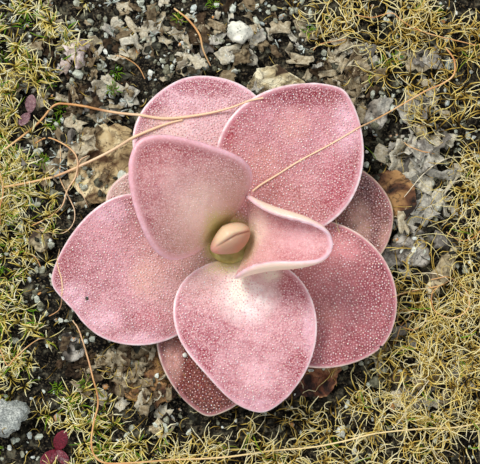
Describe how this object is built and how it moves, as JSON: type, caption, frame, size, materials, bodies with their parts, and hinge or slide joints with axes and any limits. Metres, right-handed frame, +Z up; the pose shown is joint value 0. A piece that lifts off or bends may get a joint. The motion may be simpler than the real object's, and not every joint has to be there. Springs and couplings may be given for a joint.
{
  "type": "potted butterwort",
  "caption": "Butterwort in a plain clay half pot: a low rosette of thick pink leaves round a rolled young leaf, on peaty mix with moss, bark, small stones and dry fibres.",
  "frame": {"origin": "centre of the pot's underside, on the surface that the pot stands on", "axes": "+Z up along the pot's axis; +X to the right and +Y away from the viewer as the plant is seen from above"},
  "size_m": [0.14, 0.14, 0.0943],
  "materials": {
    "terracotta": "matte",
    "peat_mix": "matte",
    "crown_green": "satin",
    "butterwort_leaf": "satin",
    "dry_leaf": "matte",
    "pine_bark": "matte",
    "pumice": "matte",
    "moss": "matte",
    "dry_fibre": "satin"
  },
  "bodies": {
    "root": {"bark_chip_back": "pine_bark", "bark_chip_back_right": "pine_bark", "bark_chip_front": "pine_bark", "bark_chip_front_left": "pine_bark", "bark_chip_left": "pine_bark", "bark_chip_right": "pine_bark", "bark_strip_right": "pine_bark", "crown": "crown_green", "drainage_crock": "terracotta", "fibre_back": "dry_fibre", "fibre_long_front": "dry_fibre", "fibre_long_left": "dry_fibre", "fibre_long_right": "dry_fibre", "fibre_loop_left": "dry_fibre", "fibre_straight_left": "dry_fibre", "leaf_back": "butterwort_leaf", "leaf_bud": "butterwort_leaf", "leaf_front": "butterwort_leaf", "leaf_left": "butterwort_leaf", "leaf_low_front": "butterwort_leaf", "leaf_low_left": "butterwort_leaf", "leaf_low_right": "butterwort_leaf", "leaf_right_back": "butterwort_leaf", "leaf_right_front": "butterwort_leaf", "leaf_upright_left": "butterwort_leaf", "leaf_upright_right": "butterwort_leaf", "moss_back": "moss", "moss_back_left": "moss", "moss_back_right": "moss", "moss_front": "moss", "moss_front_left": "moss", "moss_front_right": "moss", "moss_left": "moss", "moss_left_front": "moss", "moss_right": "moss", "moss_right_front": "moss", "pot": "terracotta", "stone_back": "pumice", "stone_front_left": "pumice", "stone_right": "pumice", "substrate": "peat_mix", "withered_leaf_back": "dry_leaf", "withered_leaf_front_left": "dry_leaf", "withered_leaf_front_right": "dry_leaf", "withered_leaf_left": "dry_leaf", "withered_leaf_right": "dry_leaf"}
  },
  "joints": []
}
